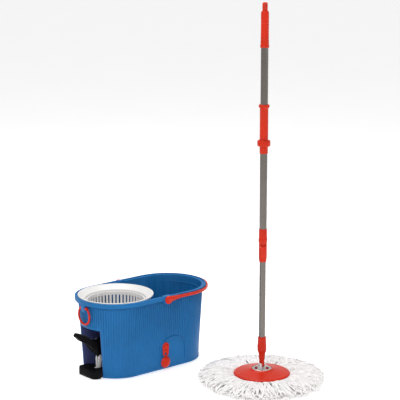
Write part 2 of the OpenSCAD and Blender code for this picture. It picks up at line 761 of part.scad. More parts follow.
module lock_pin() color(steel_grey) at_clamp() rod_y(lever_pin, -9.6, 9.6, 1.6);

module clamp_wedge() color(soft_white) at_clamp() difference() {
    box([-12.2, -4.8, 404], [-5, 4.8, 418]);
    translate([0, 0, 400]) cylinder(h = 30, r = lower_r + 0.08);
}

module turn_sleeve() color(safety_red) at_mop() difference() {
    rotate_extrude() polygon([
        [0, 706], [12.2, 706], [12.4, 708], [12.4, turn_sleeve_z[0] - 0.2], [12.6, 746.2],
        [12.6, 841], [15, 843], [16.2, 845], [16.2, 850], [14.6, turn_sleeve_z[1]],
        [0, turn_sleeve_z[1]]
    ]);
    translate([0, 0, 700]) cylinder(h = 160, r = upper_r + running_gap);
}

module sleeve_collar() color(safety_red) at_mop() difference() {
    rotate_extrude() polygon([
        [0, 728], [18, 728], [19.5, 730], [19.5, 743], [17.5, 746], [0, 746]
    ]);
    translate([0, 0, 700]) cylinder(h = 160, r = 12.6 + seat_gap);
}

module top_grip() color(safety_red) at_mop() difference() {
    rotate_extrude() polygon([
        [0, grip_z[0]], [13.2, grip_z[0]], [13.6, grip_z[0] + 2], [12.4, grip_z[0] + 10],
        [11.9, grip_z[0] + 50], [11.8, grip_z[1] - 8], [11.2, grip_z[1] - 4],
        [8.4, grip_z[1]], [0, grip_z[1]]
    ]);
    translate([0, 0, grip_z[0] - 1])
        cylinder(h = upper_tube_z[1] - grip_z[0] + 1.1, r = upper_r + seat_gap);
    translate([0, 0, 1100]) cylinder(h = 60, r = 4 + running_gap);
    // Grooves of the grip
    for (z = [grip_z[0] + 22 : 9 : grip_z[1] - 24]) ring_at(z, 3, 20, 11.45);
}

module hanger_cap() color(safety_red) at_mop() difference() {
    union() {
        translate([0, 0, 1112]) cylinder(h = 18, r = 4);
        translate([0, 0, 1112]) cylinder(h = 3.5, r = 7);
        intersection() {
            slab_y(-4, 4) {
                translate([-8, grip_z[1] + 0.3]) square([16, mop_height - grip_z[1] - 8.3]);
                translate([0, mop_height - 8]) circle(8);
            }
            rotate_extrude() polygon([[0, 1126.3], [7, 1126.3], [8, 1128], [8, 1152], [0, 1152]]);
        }
    }
    rod_y([0, mop_height - 9], -10, 10, 4);
}

bucket_tub();
base_cover();
base_screws();
rubber_feet();
splash_collar();
bail_handle();
bail_pins();
pour_ring();
pour_ring_pin();
drain_plug();
drain_seal();
drain_strap();
strap_button();
foot_plate();
pedal_lever();
pedal_pad();
pedal_axle();
return_springs();
drive_fork();
fork_pin();
rack();
step_gear();
step_axle_pin();
drive_gear();
one_way_clutch();
spindle();
upper_bearing();
lower_bearing();
thrust_ball();
spindle_seal();
spin_basket();
drive_cone();
cone_screws();
head_plate();
bearing_ring();
swivel_knuckle();
knuckle_clip();
tilt_pin();
yoke();
yoke_screw();
string_ring();
mop_strings();
lower_tube();
tube_guide();
upper_tube();
lock_sleeve();
lock_lever();
lock_pin();
clamp_wedge();
turn_sleeve();
sleeve_collar();
top_grip();
hanger_cap();
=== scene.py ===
"""Spin mop set: pedal bucket with its spin basket, and a telescopic mop with loose strings."""
import json
import math
import random

import bpy
from mathutils import Matrix, Vector


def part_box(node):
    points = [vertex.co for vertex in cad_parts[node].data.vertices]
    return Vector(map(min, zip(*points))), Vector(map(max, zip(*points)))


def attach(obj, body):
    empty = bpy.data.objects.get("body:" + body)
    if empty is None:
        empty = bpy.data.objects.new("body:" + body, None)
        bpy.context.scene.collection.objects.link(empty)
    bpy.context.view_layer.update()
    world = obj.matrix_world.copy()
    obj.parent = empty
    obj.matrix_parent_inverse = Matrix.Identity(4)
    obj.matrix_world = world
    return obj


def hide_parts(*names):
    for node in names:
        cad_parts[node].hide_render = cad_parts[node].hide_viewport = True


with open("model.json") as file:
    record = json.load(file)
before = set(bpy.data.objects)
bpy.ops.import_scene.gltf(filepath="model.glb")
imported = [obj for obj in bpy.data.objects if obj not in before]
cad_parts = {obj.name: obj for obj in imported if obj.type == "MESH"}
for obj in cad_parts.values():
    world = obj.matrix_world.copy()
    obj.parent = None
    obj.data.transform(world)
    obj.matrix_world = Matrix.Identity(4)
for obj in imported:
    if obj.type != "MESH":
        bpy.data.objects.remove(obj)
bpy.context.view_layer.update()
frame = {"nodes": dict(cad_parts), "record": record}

MM = 0.001

# ---- places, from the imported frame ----
TUB_LOW, TUB_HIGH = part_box("bucket_tub")
RIM_R = -TUB_LOW.x
END_SPACING = TUB_HIGH.x - RIM_R
RIM_Z = TUB_HIGH.z
FOOT_R = 0.101
WALL_R = RIM_R - 0.011
TAPER_Z = RIM_Z - 0.011
# Recess for the pedal: its half width and its top
NICHE_Y = 0.049
NICHE_Z = 0.152
# Room kept free of ribs at the pour ring's eyes: depth below the rim, and half width
EYES_DEPTH, EYES_Y = 0.032, 0.017

BAIL_X, BAIL_Z = 0.108, RIM_Z - 0.012
BAIL_H = 0.0095
PLATE_LOW, PLATE_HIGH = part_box("head_plate")
MOP = (PLATE_LOW + PLATE_HIGH) / 2
PLATE_R = (PLATE_HIGH.x - PLATE_LOW.x) / 2
STRINGS_LOW, STRINGS_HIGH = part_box("mop_strings")
STRINGS_R = (STRINGS_HIGH.x - STRINGS_LOW.x) / 2


def shell_r(z):
    """Radius of the tub's outer wall at height z."""
    return FOOT_R + (WALL_R - FOOT_R) * z / TAPER_Z


# ---- materials ----

def material(name):
    """A new material, with its nodes, its links and its shader."""
    m = bpy.data.materials.new(name)
    m.use_nodes = True
    tree = m.node_tree
    return m, tree, tree.nodes["Principled BSDF"]


def node(tree, kind, **values):
    """A new shader node; a value is a property, or an input by name with _ for a space."""
    n = tree.nodes.new(kind)
    for key, value in values.items():
        if hasattr(n, key):
            setattr(n, key, value)
        else:
            n.inputs[key.replace("_", " ")].default_value = value
    return n


def place(tree, scale=(1, 1, 1)):
    """Object coordinates in metres, stretched by scale."""
    tc = node(tree, "ShaderNodeTexCoord")
    mp = node(tree, "ShaderNodeMapping")
    mp.inputs["Scale"].default_value = scale
    tree.links.new(tc.outputs["Object"], mp.inputs["Vector"])
    return mp.outputs["Vector"]


def noise(tree, where, scale, detail=4.0, roughness=0.55):
    n = node(tree, "ShaderNodeTexNoise", Scale=scale, Detail=detail, Roughness=roughness)
    tree.links.new(where, n.inputs["Vector"])
    return n.outputs["Fac"]


def ramp(tree, fac, stops):
    """Colour ramp with (place, colour) stops; a colour may be one grey number."""
    r = node(tree, "ShaderNodeValToRGB")
    ends = r.color_ramp.elements
    while len(ends) < len(stops):
        ends.new(0.5)
    for e, (at, colour) in zip(ends, stops):
        e.position = at
        e.color = (colour,) * 3 + (1,) if isinstance(colour, float) else tuple(colour) + (1,)
    tree.links.new(fac, r.inputs["Fac"])
    return r.outputs["Color"]


def bump(tree, shader, height, strength, distance, under=None):
    b = node(tree, "ShaderNodeBump", Strength=strength, Distance=distance)
    tree.links.new(height, b.inputs["Height"])
    if under is not None:
        tree.links.new(under, b.inputs["Normal"])
    tree.links.new(b.outputs["Normal"], shader.inputs["Normal"])
    return b.outputs["Normal"]


def inside(tree, where, low, high, soft):
    """Mask that is 1 inside the box from low to high and fades over soft metres."""
    split = node(tree, "ShaderNodeSeparateXYZ")
    tree.links.new(where, split.inputs["Vector"])
    mask = None
    for axis, a, b in zip("XYZ", low, high):
        for edge, inner in ((a, a + soft), (b, b - soft)):
            step = node(tree, "ShaderNodeMapRange", clamp=True, From_Min=edge, From_Max=inner)
            tree.links.new(split.outputs[axis], step.inputs["Value"])
            if mask is None:
                mask = step.outputs["Result"]
                continue
            both = node(tree, "ShaderNodeMath", operation="MULTIPLY")
            tree.links.new(mask, both.inputs[0])
            tree.links.new(step.outputs["Result"], both.inputs[1])
            mask = both.outputs["Value"]
    return mask


def shades(colour, low, high):
    return tuple(c * low for c in colour), tuple(c * high for c in colour)


# Shade of the recess: from behind the curved front wall to behind its back wall. At the sides and
# the top it reaches a margin into the walls, and it fades within that margin
SHADE_FRONT, SHADE_BACK = -0.0985, -0.0165
SHADE_MARGIN = 0.0012
SHADE_FADE = 0.0008


def plastic(name, colour, rough=(0.3, 0.42), grain=900, grain_depth=0.00003, spread=0.12,
            glow=0.0, shine=0.5, painted_shade_box=None, dark=None):
    """Moulded plastic: flow mottling, fine grain, smudged gloss and paler scuffed edges.

    The box given, from its low to its high corner, is a recess painted in shade: inside it the colour is
    mixed towards dark.
    """
    m, tree, shader = material(name)
    where = place(tree)
    low, high = shades(colour, 1 - spread, 1 + spread)
    mottle = ramp(tree, noise(tree, where, 9.0), [(0.3, low), (0.72, high)])
    # Painted shade: inside the recess the mottled colour is mixed towards the dark colour, fading at the
    # box's edges.
    if painted_shade_box:
        painted_shade_mix = node(tree, "ShaderNodeMix", data_type="RGBA")
        tree.links.new(inside(tree, where, *painted_shade_box, SHADE_FADE), painted_shade_mix.inputs["Factor"])
        tree.links.new(mottle, painted_shade_mix.inputs["A"])
        painted_shade_mix.inputs["B"].default_value = tuple(dark) + (1,)
        mottle = painted_shade_mix.outputs["Result"]
    edge = node(tree, "ShaderNodeNewGeometry")
    scuff = ramp(tree, edge.outputs["Pointiness"], [(0.53, 0.0), (0.62, 0.3)])
    mix = node(tree, "ShaderNodeMix", data_type="RGBA")
    tree.links.new(scuff, mix.inputs["Factor"])
    tree.links.new(mottle, mix.inputs["A"])
    mix.inputs["B"].default_value = tuple(min(1, c * 1.5 + 0.03) for c in colour) + (1,)
    tree.links.new(mix.outputs["Result"], shader.inputs["Base Color"])
    smudge = ramp(tree, noise(tree, where, 34.0, 6.0), [(0.35, rough[0]), (0.7, rough[1])])
    tree.links.new(smudge, shader.inputs["Roughness"])
    shader.inputs["Specular IOR Level"].default_value = shine
    shader.inputs["Subsurface Weight"].default_value = glow
    shader.inputs["Subsurface Radius"].default_value = (0.004, 0.003, 0.002)
    shader.inputs["Subsurface Scale"].default_value = 1.0
    wave = bump(tree, shader, noise(tree, where, 40.0, 2.0), 0.25, 0.0002)
    bump(tree, shader, noise(tree, where, grain, 3.0), 0.35, grain_depth, wave)
    return m


def steel(name, colour, lines=(260, 260, 6)):
    """Drawn steel: long fine lines, faint smudges."""
    m, tree, shader = material(name)
    where = place(tree, lines)
    plain = place(tree)
    dark, light = shades(colour, 0.82, 1.12)
    streak = noise(tree, where, 4.0, 5.0, 0.7)
    tree.links.new(ramp(tree, streak, [(0.3, dark), (0.7, light)]), shader.inputs["Base Color"])
    smudge = ramp(tree, noise(tree, plain, 26.0, 5.0), [(0.35, 0.2), (0.7, 0.34)])
    tree.links.new(smudge, shader.inputs["Roughness"])
    shader.inputs["Metallic"].default_value = 1.0
    shader.inputs["Anisotropic"].default_value = 0.5
    bump(tree, shader, streak, 0.2, 0.00003)
    return m


def rubber(name, colour):
    m, tree, shader = material(name)
    where = place(tree)
    dark, light = shades(colour, 0.7, 1.5)
    dust = noise(tree, where, 60.0, 6.0)
    tree.links.new(ramp(tree, dust, [(0.35, dark), (0.75, light)]), shader.inputs["Base Color"])
    tree.links.new(ramp(tree, dust, [(0.3, 0.6), (0.7, 0.85)]), shader.inputs["Roughness"])
    bump(tree, shader, noise(tree, where, 1500.0, 3.0), 0.5, 0.00008)
    return m


def microfibre(name, colour):
    """Looped microfibre yarn: fine pile, warm shadows between the loops, soft sheen."""
    m, tree, shader = material(name)
    where = place(tree)
    dark, light = shades(colour, 0.86, 1.04)
    tone = noise(tree, where, 70.0, 6.0)
    tree.links.new(ramp(tree, tone, [(0.3, dark), (0.62, light)]), shader.inputs["Base Color"])
    shader.inputs["Roughness"].default_value = 0.92
    shader.inputs["Sheen Weight"].default_value = 0.35
    shader.inputs["Sheen Roughness"].default_value = 0.6
    shader.inputs["Subsurface Weight"].default_value = 0.25
    shader.inputs["Subsurface Radius"].default_value = (0.004, 0.004, 0.004)
    shader.inputs["Subsurface Scale"].default_value = 1.0
    cell = node(tree, "ShaderNodeTexVoronoi", Scale=900.0)
    tree.links.new(where, cell.inputs["Vector"])
    pile = bump(tree, shader, cell.outputs["Distance"], 0.6, 0.0005)
    bump(tree, shader, noise(tree, where, 500.0, 4.0), 0.5, 0.0004, pile)
    return m


# The tub's blue takes painted shade in the pedal's recess: there it turns dark navy.
BLUE = plastic("tub_blue", (0.010, 0.132, 0.35), (0.38, 0.52), grain=1100, shine=0.15,
               painted_shade_box=((SHADE_FRONT, -NICHE_Y - SHADE_MARGIN, 0.0),
                         (SHADE_BACK, NICHE_Y + SHADE_MARGIN, NICHE_Z + SHADE_MARGIN)),
               dark=(0.070, 0.085, 0.22))
RED = plastic("safety_red", (0.55, 0.022, 0.005), (0.26, 0.38), grain=1400, shine=0.18,
              grain_depth=0.00002)
WHITE = plastic("soft_white", (0.70, 0.69, 0.68), (0.28, 0.4), spread=0.04, glow=0.12)
BLACK = plastic("pedal_black", (0.0042, 0.0041, 0.005), (0.5, 0.7), grain=700,
                grain_depth=0.00012, spread=0.3, shine=0.07)
DARK = rubber("dark_rubber", (0.025, 0.025, 0.027))
TUBE = steel("pole_steel", (0.168, 0.15, 0.136))
METAL = steel("plain_steel", (0.60, 0.59, 0.58), lines=(90, 90, 90))
STRINGS = microfibre("microfibre", (0.86, 0.835, 0.825))

SLOT_LOOKS = {
    "tub_plastic": BLUE, "red_plastic": RED, "white_plastic": WHITE, "black_plastic": BLACK,
    "dark_rubber": DARK, "steel_tube": TUBE, "steel": METAL, "strings": STRINGS,
}
NODE_SLOT = {s["node"]: s["material_slot"] for s in frame["record"]["subparts"]}
NODE_BODY = {n: b for b, names in frame["record"]["behaviour"]["bodies"].items() for n in names}


# ---- mesh helpers ----
CORNER_STEPS = 4
TURNED_SMOOTH = 32

def finish_piece(obj, body, slot, smooth=40):
    """Smooth it below the given angle, give it its look and its body."""
    for f in obj.data.polygons:
        f.use_smooth = True
    obj.data.set_sharp_from_angle(angle=math.radians(smooth))
    obj.data.materials.clear()
    obj.data.materials.append(SLOT_LOOKS[slot])
    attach(obj, body)
    return obj


def mesh_piece(name, verts, faces, body, slot, smooth=40):
    mesh = bpy.data.meshes.new(name)
    mesh.from_pydata([tuple(v) for v in verts], [], faces)
    mesh.validate()
    obj = bpy.data.objects.new(name, mesh)
    bpy.context.collection.objects.link(obj)
    return finish_piece(obj, body, slot, smooth)


def rounded(outline):
    """Metres from a closed outline in mm of (across, up) or (across, up, corner radius)."""
    out = []
    count = len(outline)
    for i, point in enumerate(outline):
        here = Vector(point[:2])
        radius = point[2] if len(point) > 2 else 0
        if not radius:
            out.append(here * MM)
            continue
        before = Vector(outline[i - 1][:2]) - here
        after = Vector(outline[(i + 1) % count][:2]) - here
        reach = min(radius, before.length * 0.48, after.length * 0.48)
        a, b = here + before.normalized() * reach, here + after.normalized() * reach
        for k in range(CORNER_STEPS + 1):
            t = k / CORNER_STEPS
            out.append((a * (1 - t) ** 2 + here * 2 * t * (1 - t) + b * t * t) * MM)
    return out


def grid_faces(rows, columns, wrap_rows, wrap_columns):
    faces = []
    for i in range(rows if wrap_rows else rows - 1):
        for j in range(columns if wrap_columns else columns - 1):
            k, n = (i + 1) % rows, (j + 1) % columns
            faces.append((i * columns + j, k * columns + j, k * columns + n, i * columns + n))
    return faces


def bar_faces(rows, columns):
    """Faces of a bar: closed round each row, with a cap at its first and its last row."""
    last = (rows - 1) * columns
    return grid_faces(rows, columns, False, True) + [
        tuple(range(columns)), tuple(last + k for k in reversed(range(columns)))]


def lathe(name, outline, body, slot, centre=(0, 0), steps=120):
    """Closed outline in mm turned about the vertical line through centre."""
    pts = rounded(outline)
    verts = [
        (centre[0] + p[0] * math.cos(a), centre[1] + p[0] * math.sin(a), p[1])
        for a in (2 * math.pi * i / steps for i in range(steps)) for p in pts
    ]
    return mesh_piece(name, verts, grid_faces(steps, len(pts), True, True), body, slot,
                      TURNED_SMOOTH)


def oval_stations():
    """Points of the oval's middle line with the outward direction at each, counterclockwise."""
    per_end, per_side = 72, 2
    out = []
    for i in range(per_end + 1):
        a = math.radians(-90 + 180 * i / per_end)
        out.append((Vector((END_SPACING, 0, 0)), Vector((math.cos(a), math.sin(a), 0))))
    for i in range(1, per_side):
        out.append((Vector((END_SPACING * (1 - i / per_side), 0, 0)), Vector((0, 1, 0))))
    for i in range(per_end + 1):
        a = math.radians(90 + 180 * i / per_end)
        out.append((Vector((0, 0, 0)), Vector((math.cos(a), math.sin(a), 0))))
    for i in range(1, per_side):
        out.append((Vector((END_SPACING * i / per_side, 0, 0)), Vector((0, -1, 0))))
    return out


def oval_sweep(name, outline, body, slot):
    """Closed outline in mm, as (distance from the middle line, height), swept round the oval."""
    pts = rounded(outline)
    verts = [base + out * p[0] + Vector((0, 0, p[1])) for base, out in oval_stations() for p in pts]
    return mesh_piece(name, verts, grid_faces(len(verts) // len(pts), len(pts), True, True),
                      body, slot, TURNED_SMOOTH)


def tube_mesh(path, radii, sides=8):
    """Vertices and faces of a tube with flat ends along a path; radii is a list."""
    verts = []
    side = Vector((0, 0, 1))
    for i, p in enumerate(path):
        ahead = (path[min(i + 1, len(path) - 1)] - path[max(i - 1, 0)]).normalized()
        across = ahead.cross(side)
        across = across.normalized() if across.length > 1e-4 else Vector((1, 0, 0))
        up = across.cross(ahead).normalized()
        for k in range(sides):
            a = 2 * math.pi * k / sides
            verts.append(p + (across * math.cos(a) + up * math.sin(a)) * radii[i])
    return verts, bar_faces(len(path), sides)


def join(parts):
    """One list of vertices and faces from several."""
    verts, faces = [], []
    for v, f in parts:
        start = len(verts)
        verts += v
        faces += [tuple(start + i for i in face) for face in f]
    return verts, faces


def softened(name, source, width=0.6, segments=3):
    """A copy of a CAD node with its hard edges rounded; it stands for the node."""
    obj = bpy.data.objects.new(name, frame["nodes"][source].data.copy())
    bpy.context.collection.objects.link(obj)
    finish_piece(obj, NODE_BODY[source], NODE_SLOT[source], 50)
    weld = obj.modifiers.new("weld", "WELD")
    weld.merge_threshold = 1e-5
    flat = obj.modifiers.new("flat", "DECIMATE")
    flat.decimate_type = "DISSOLVE"
    flat.angle_limit = math.radians(0.5)
    flat.delimit = {"NORMAL"}
    bev = obj.modifiers.new("soft_edges", "BEVEL")
    bev.width = width * MM
    bev.segments = segments
    bev.limit_method = "ANGLE"
    bev.angle_limit = math.radians(28)
    bev.use_clamp_overlap = True
    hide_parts(source)
    return obj


# ---- looks of the CAD nodes that stay ----
for cad_name, cad_slot in NODE_SLOT.items():
    mesh = frame["nodes"][cad_name].data
    mesh.materials.clear()
    mesh.materials.append(SLOT_LOOKS[cad_slot])


# ---- tub: ribs, step inside, arched panel ----
RIB_PITCH = 0.0075
RIB_HALF = 0.0021
RIB_HEIGHT = 0.0012
RIB_SIDES = 6
RIB_SINK = 0.0004
RIB_LOW, RIB_HIGH = 0.0095, RIM_Z - 0.0165
ARCH = {"left": 0.090, "right": 0.194, "top": 0.102, "shoulder": 0.058}
BEAD_R = 0.0019
BEAD_OUT = 0.0004


def arch_height(x):
    """Height of the smooth panel's edge at x, or 0 outside it."""
    if not ARCH["left"] < x < ARCH["right"]:
        return 0.0
    t = (x - ARCH["left"]) / (ARCH["right"] - ARCH["left"])
    return ARCH["shoulder"] + (ARCH["top"] - ARCH["shoulder"]) * math.sqrt(1 - (2 * t - 1) ** 2)


def rib_span(base, out):
    """Lowest and highest point of the rib at this place on the oval."""
    low, high = RIB_LOW, RIB_HIGH
    x, y = base.x + out.x * FOOT_R, out.y * FOOT_R
    if base.x == 0 and out.x < 0 and abs(y) < NICHE_Y + 0.003:
        low = NICHE_Z + 0.006
    if base.x == 0 and out.x < 0 and abs(y) < EYES_Y:
        high = RIM_Z - EYES_DEPTH
    if out.y == -1 and arch_height(x):
        low = arch_height(x) + 0.004
    if abs(out.y) == 1 and abs(x - BAIL_X) < 0.018:
        high = BAIL_Z - math.sqrt(max(0, 0.0195 ** 2 - (x - BAIL_X) ** 2))
    return low, high


def rib_places():
    """Base point and outward direction of every rib round the oval."""
    per_side = round(END_SPACING / RIB_PITCH)
    per_end = round(math.pi * (FOOT_R + WALL_R) / 2 / RIB_PITCH)
    for side in (-1, 1):
        for i in range(per_side):
            yield Vector(((i + 0.5) * END_SPACING / per_side, 0, 0)), Vector((0, side, 0))
    for end, start in ((0, 90), (END_SPACING, -90)):
        for i in range(per_end):
            a = math.radians(start + 180 * (i + 0.5) / per_end)
            yield Vector((end, 0, 0)), Vector((math.cos(a), math.sin(a), 0))


def rib(base, out, low, high):
    """Half-round rib that fades into the wall at both ends."""
    along = Vector((-out.y, out.x, 0))
    verts = []
    stations = [(0, 0.05), (0.012, 0.75), (0.03, 1), (0.97, 1), (0.988, 0.75), (1, 0.05)]
    for t, rise in stations:
        z = low + (high - low) * t
        for k in range(RIB_SIDES + 1):
            a = math.pi * k / RIB_SIDES
            depth = RIB_HEIGHT * rise * math.sin(a) - RIB_SINK
            verts.append(base + out * (shell_r(z) + depth) + along * RIB_HALF * math.cos(a)
                         + Vector((0, 0, z)))
    return verts, bar_faces(len(stations), RIB_SIDES + 1)


def tub_ribs():
    ribs = []
    for base, out in rib_places():
        low, high = rib_span(base, out)
        if high - low > 0.012:
            ribs.append(rib(base, out, low, high))
    mesh_piece("tub_ribs", *join(ribs), "bucket", "tub_plastic", 60)


def arch_edge():
    """Raised bead round the smooth panel at the drain."""
    path = []
    steps = 40
    sides_z = (0.008, 0.02, 0.035, 0.05)
    xs = [ARCH["left"] + (ARCH["right"] - ARCH["left"]) * (1 - math.cos(math.pi * i / steps)) / 2
          for i in range(steps + 1)]
    for z in sides_z:
        path.append(Vector((ARCH["left"], -shell_r(z) - BEAD_OUT, z)))
    for x in xs:
        z = max(arch_height(min(max(x, ARCH["left"] + 1e-6), ARCH["right"] - 1e-6)), 0.052)
        path.append(Vector((x, -shell_r(z) - BEAD_OUT, z)))
    for z in reversed(sides_z):
        path.append(Vector((ARCH["right"], -shell_r(z) - BEAD_OUT, z)))
    verts, faces = tube_mesh(path, [BEAD_R] * len(path))
    mesh_piece("drain_panel_edge", verts, faces, "bucket", "tub_plastic", 60)


softened("tub_shell", "bucket_tub", 0.7)
tub_ribs()
arch_edge()
STEP_DEPTH = 0.025
WALL = 0.0026
inner = (shell_r(RIM_Z - STEP_DEPTH) - WALL) / MM
step_z = (RIM_Z - STEP_DEPTH) / MM
oval_sweep("tub_inner_step", [
    (inner + 0.6, step_z + 1.6), (inner - 1.4, step_z + 0.6, 0.8),
    (inner - 1.5, step_z - 0.8, 0.8), (inner + 0.4, step_z - 2.2)], "bucket", "tub_plastic")
top = RIM_Z / MM
out_r = RIM_R / MM
oval_sweep("rim_roll", [
    (out_r - 3.8, top - 3.0), (out_r - 3.6, top - 0.1, 1.2), (out_r - 0.05, top - 0.1, 1.6),
    (out_r - 0.05, top - 13.4, 1.0), (out_r - 2.3, top - 13.4, 1.0), (out_r - 2.0, top - 4.0)],
    "bucket", "tub_plastic")

# ---- collar and basket ----
COLLAR_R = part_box("splash_collar")[1].x / MM
COLLAR_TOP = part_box("splash_collar")[1].z / MM
collar = lathe("collar_ring", [
    (92.7, 221, 0.8), (94.9, 221, 0.8), (94.9, 229.5, 2), (107.2, COLLAR_TOP - 9.6, 2),
    (107.2, COLLAR_TOP - 16.6, 0.8), (109.6, COLLAR_TOP - 16.6, 0.8),
    (109.6, COLLAR_TOP - 4.5), (COLLAR_R - 0.6, COLLAR_TOP - 4.5, 0.8),
    (COLLAR_R, COLLAR_TOP - 3.4, 1), (COLLAR_R, COLLAR_TOP, 2.6), (COLLAR_R - 4.6, COLLAR_TOP, 2.6),
    (COLLAR_R - 6.4, COLLAR_TOP - 2.2, 2), (94.5, 232.2, 2.5), (92.7, 230, 1.6)],
    "collar", "white_plastic", steps=144)
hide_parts("splash_collar")
softened("basket_shell", "spin_basket", 0.45, 2)
softened("basket_cone", "drive_cone", 0.6)

# ---- bail and pour ring ----
BOW_X = [BAIL_X, BAIL_X + 0.02, BAIL_X + 0.05, END_SPACING]
BOW_STEPS = 60
GRIP_SWELL = 0.17
GRIP_ANGLE = 28


def bail_bow():
    """Rounded bar along both sides and round the end, thicker at the grip."""
    inner_y = RIM_R + 0.001
    mid = inner_y + 0.00275
    half = BAIL_H / 2
    zc = BAIL_Z - 0.0005 + half
    stations = [(Vector((x, -mid, zc)), Vector((0, -1, 0)), 1.0) for x in BOW_X]
    for i in range(1, BOW_STEPS):
        a = math.radians(-90 + 180 * i / BOW_STEPS)
        d = Vector((math.cos(a), math.sin(a), 0))
        grip = 1 + GRIP_SWELL * max(0, min(1, (GRIP_ANGLE - abs(math.degrees(a))) / 3))
        stations.append((Vector((END_SPACING, 0, zc)) + d * mid, d, grip))
    stations += [(Vector((x, mid, zc)), Vector((0, 1, 0)), 1.0) for x in reversed(BOW_X)]
    h = half / MM
    section = rounded([(-2.75, -h, 2.2), (2.75, -h, 2.2), (2.75, h, 2.2), (-2.75, h, 2.2)])
    verts = [p + d * (s[0] + 0.0002 * (g - 1) / GRIP_SWELL) + Vector((0, 0, s[1] * g))
             for p, d, g in stations for s in section]
    return verts, bar_faces(len(stations), len(section))


def turned_y(outline, x, z, side):
    """Outline in mm as (radius, distance from the middle plane), turned about a line along Y."""
    steps = 48
    pts = rounded(outline)
    verts = []
    for i in range(steps):
        a = 2 * math.pi * i / steps
        verts += [Vector((x + p[0] * math.cos(a), side * p[1], z + p[0] * math.sin(a))) for p in pts]
    return verts, grid_faces(steps, len(pts), True, True)


BOSS = [(4.1, 126.0), (12.4, 126.0, 1), (13.0, 129.0, 2), (12.0, 133.2, 2.4), (8.6, 134.0, 1), (4.1, 134.0)]


def flare(side):
    """Web that widens the bow into its boss."""
    outline = [(0, 12.0), (16, 9.8), (42, 8.9), (42, 0.4), (16, -5.0), (0, -12.0)]
    stations = []
    for y, inset in ((126.3, 0.4), (127.2, 0), (130.4, 0), (132.0, 0.9), (132.6, 2.4)):
        stations.append([
            Vector((BAIL_X + x * MM - (0.4 * inset * MM if x > 40 else 0), side * y * MM,
                    BAIL_Z + (z - inset * (0.7 if z > 0 else -0.7)) * MM)) for x, z in outline])
    verts = [v for row in stations for v in row]
    return verts, bar_faces(len(stations), len(outline))


bail_parts = [bail_bow()] + [turned_y(BOSS, BAIL_X, BAIL_Z, s) for s in (-1, 1)]
bail_parts += [flare(s) for s in (-1, 1)]
bail = mesh_piece("bail_bow", *join(bail_parts), "bail", "red_plastic")
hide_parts("bail_handle")
PIN_HEAD = [(0, 115.0), (3.95, 115.0), (3.95, 134.2), (7.4, 134.2, 0.8), (7.2, 135.4, 1.2), (0.0, 136.0)]
pins = mesh_piece("bail_pin_heads", *join([turned_y(PIN_HEAD, BAIL_X, BAIL_Z, s) for s in (-1, 1)]),
                  "bucket", "red_plastic")
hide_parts("bail_pins")

# ---- pedal, foot plate, drain ----
softened("foot_rest", "foot_plate", 1.6, 4)
softened("pedal_arm", "pedal_lever", 1.6, 4)
softened("pedal_tread", "pedal_pad", 0.5, 2)
softened("white_fork", "drive_fork", 0.8, 3)
softened("drain_tab", "drain_strap", 0.9, 3)
softened("drain_button", "strap_button", 0.8, 3)
softened("drain_cap", "drain_plug", 0.9, 3)
softened("mop_hanger", "hanger_cap", 1.0, 3)
softened("lock_arm", "lock_lever", 0.7, 3)
softened("lock_body", "lock_sleeve", 0.6, 3)
softened("yoke_body", "yoke", 0.7, 3)
softened("knuckle_body", "swivel_knuckle", 0.6, 3)

# ---- mop ----
MOP_AT = (MOP.x, MOP.y)
plate_r = PLATE_R / MM
plate = lathe("plate_disc", [
    (8.05, 20), (26, 20, 2), (33, 33, 2), (plate_r - 4, 25, 2), (plate_r, 25.4, 1.2),
    (plate_r, 28.2, 1.6), (plate_r - 3, 30.7, 2.5), (72, 33.0, 3), (70.5, 32.6, 0.8),
    (69.0, 33.4, 0.8), (40, 38.9, 3), (36, 40.5, 2), (33, 43, 1.4), (30.5, 43, 0.6),
    (30.5, 40), (22.4, 40), (22.4, 23.4), (8.05, 23.4)],
    "mop_head", "red_plastic", MOP_AT, 144)
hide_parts("head_plate")
ring = lathe("hub_ring", [
    (21.6, 40.05, 0.4), (30.4, 40.05, 0.4), (30.4, 42.4, 1), (28.4, 43.4, 1), (26, 42.4, 0.8),
    (23.6, 43.4, 1), (21.6, 42.2, 0.8)], "mop_head", "steel", MOP_AT, 96)
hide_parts("bearing_ring")
softened("grip_body", "top_grip", 0.5, 2)
softened("turn_grip", "turn_sleeve", 0.8, 3)
softened("turn_collar", "sleeve_collar", 1.0, 3)


# Radius at which the strings start, at the edge of their ring, and where their curled end begins
STRING_START_R = 0.080
CURL_FROM = 0.86
# z is the height of a layer of strings, in metres, from the ring (0) to the ends (1)
LAYERS = [
    {"locks": 50, "each": 8, "reach": 0.83, "z": [(0, 0.0165), (0.2, 0.010), (0.6, 0.007), (1, 0.0035)]},
    {"locks": 56, "each": 9, "reach": 0.94, "z": [(0, 0.018), (0.2, 0.019), (0.65, 0.0165), (1, 0.007)]},
    {"locks": 62, "each": 10, "reach": 1.0, "z": [(0, 0.0195), (0.13, 0.0265), (0.3, 0.029),
                                                  (0.68, 0.028), (0.9, 0.022), (1, 0.014)]},
]


def along(stops, t):
    """Value at t, eased from each stop to the next."""
    for (t0, v0), (t1, v1) in zip(stops, stops[1:]):
        if t <= t1:
            k = (t - t0) / (t1 - t0)
            k = k * k * (3 - 2 * k)
            return v0 + (v1 - v0) * k
    return stops[-1][1]


